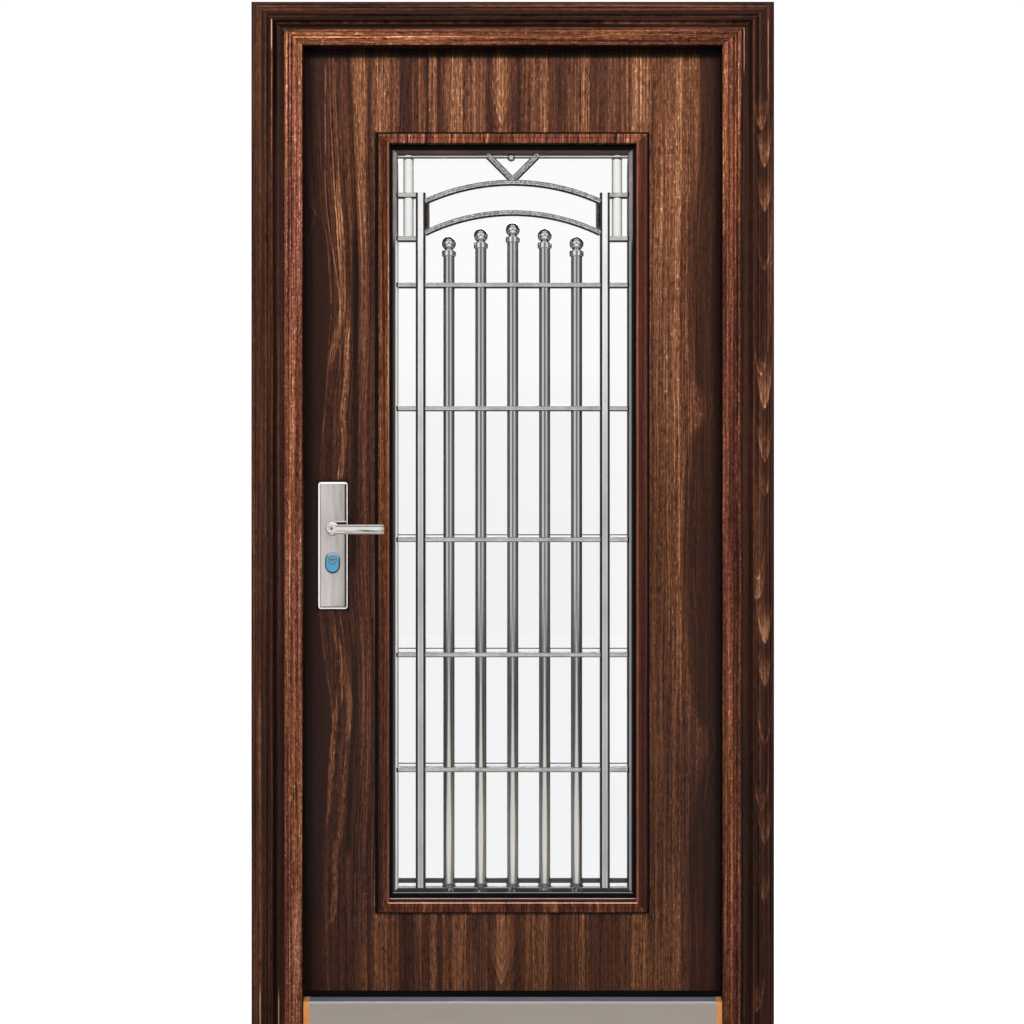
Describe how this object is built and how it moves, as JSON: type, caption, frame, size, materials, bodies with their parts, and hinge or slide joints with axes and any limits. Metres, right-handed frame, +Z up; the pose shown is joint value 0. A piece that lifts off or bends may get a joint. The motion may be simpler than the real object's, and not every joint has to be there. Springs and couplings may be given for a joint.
{
  "type": "multi-lock security door with barred window and frame",
  "caption": "Steel security door with a wood-grain finish, hinged in its moulded frame, with a glazed and barred window, lever handle, key cylinder and steel threshold.",
  "frame": {"origin": "bottom centre of the frame, on the underside of the threshold, in the plane of the wall's front face", "axes": "+Z up along the height; +X to the right seen from the front; +Y into the wall, the way the leaf opens; the front faces -Y"},
  "size_m": [1.046, 0.18, 2.05],
  "materials": {
    "casing_wood_finish": "dark walnut wood-grain transfer on steel, satin",
    "jamb_wood_finish": "lighter walnut wood-grain transfer on steel, satin",
    "leaf_wood_finish": "dark walnut wood-grain transfer on steel, satin",
    "bead_wood_finish": "walnut wood-grain transfer on steel, satin",
    "threshold_steel": "plain stainless steel, lightly brushed",
    "copper_caps": "copper-coloured end cap",
    "black_rubber": "matt black rubber",
    "plain_steel": "zinc-plated steel",
    "window_glass": "clear sheet glass",
    "polished_steel": "polished stainless steel tube and bar",
    "satin_steel": "warm satin-brushed steel",
    "blue_cylinder": "blue anodised metal"
  },
  "bodies": {
    "frame": {"casing_left": "casing_wood_finish", "casing_right": "casing_wood_finish", "casing_head": "casing_wood_finish", "jamb_lock_side": "jamb_wood_finish", "jamb_hinge_side": "jamb_wood_finish", "jamb_head": "jamb_wood_finish", "jamb_lock_web": "jamb_wood_finish", "jamb_lock_core": "jamb_wood_finish", "strike_boxes": "plain_steel", "jamb_hinge_web": "jamb_wood_finish", "jamb_head_web": "jamb_wood_finish", "threshold": "threshold_steel", "threshold_end_caps": "copper_caps", "frame_seals": "black_rubber", "strike_plates": "plain_steel", "hinge_frame_leaves": "plain_steel", "hinge_pins": "plain_steel"},
    "leaf": {"leaf_lock_stile": "leaf_wood_finish", "leaf_hinge_stile": "leaf_wood_finish", "leaf_top_rail": "leaf_wood_finish", "leaf_bottom_rail": "leaf_wood_finish", "leaf_front_sheet": "leaf_wood_finish", "leaf_back_sheet": "leaf_wood_finish", "bottom_sweep": "black_rubber", "bead_front_sides": "bead_wood_finish", "bead_front_ends": "bead_wood_finish", "bead_back_sides": "bead_wood_finish", "bead_back_ends": "bead_wood_finish", "window_gasket_sides": "black_rubber", "window_gasket_ends": "black_rubber", "glass_pane": "window_glass", "grille_frame_sides": "polished_steel", "grille_frame_ends": "polished_steel", "grille_posts": "polished_steel", "grille_crossbars": "polished_steel", "grille_side_bars": "polished_steel", "grille_tubes": "polished_steel", "grille_finials": "polished_steel", "grille_arch": "polished_steel", "grille_v_brace": "polished_steel", "lock_faceplates": "plain_steel", "lock_bolts": "plain_steel", "handle_plate_front": "satin_steel", "handle_plate_back": "satin_steel", "cylinder_guard_front": "blue_cylinder", "cylinder_guard_back": "blue_cylinder", "cylinder_plug_back": "blue_cylinder", "hinge_door_leaves": "plain_steel"},
    "handle": {"lever_front": "satin_steel", "lever_back": "satin_steel", "spindle": "plain_steel"},
    "key_plug": {"cylinder_plug_front": "blue_cylinder"}
  },
  "joints": [
    {"name": "leaf_hinge", "type": "hinge", "parent": "frame", "child": "leaf", "pos_m": [0.4375, 0.101, 1.025], "axis": [0, 0, -1], "range_deg": [0, 100]},
    {"name": "handle_turn", "type": "hinge", "parent": "leaf", "child": "handle", "pos_m": [-0.3633, 0.057, 0.9957], "axis": [0, 1, 0], "range_deg": [-45, 45], "stiffness_Nm_per_rad": 2.5},
    {"name": "key_turn", "type": "hinge", "parent": "leaf", "child": "key_plug", "pos_m": [-0.3633, 0.03, 0.933], "axis": [0, 1, 0], "continuous": true}
  ]
}
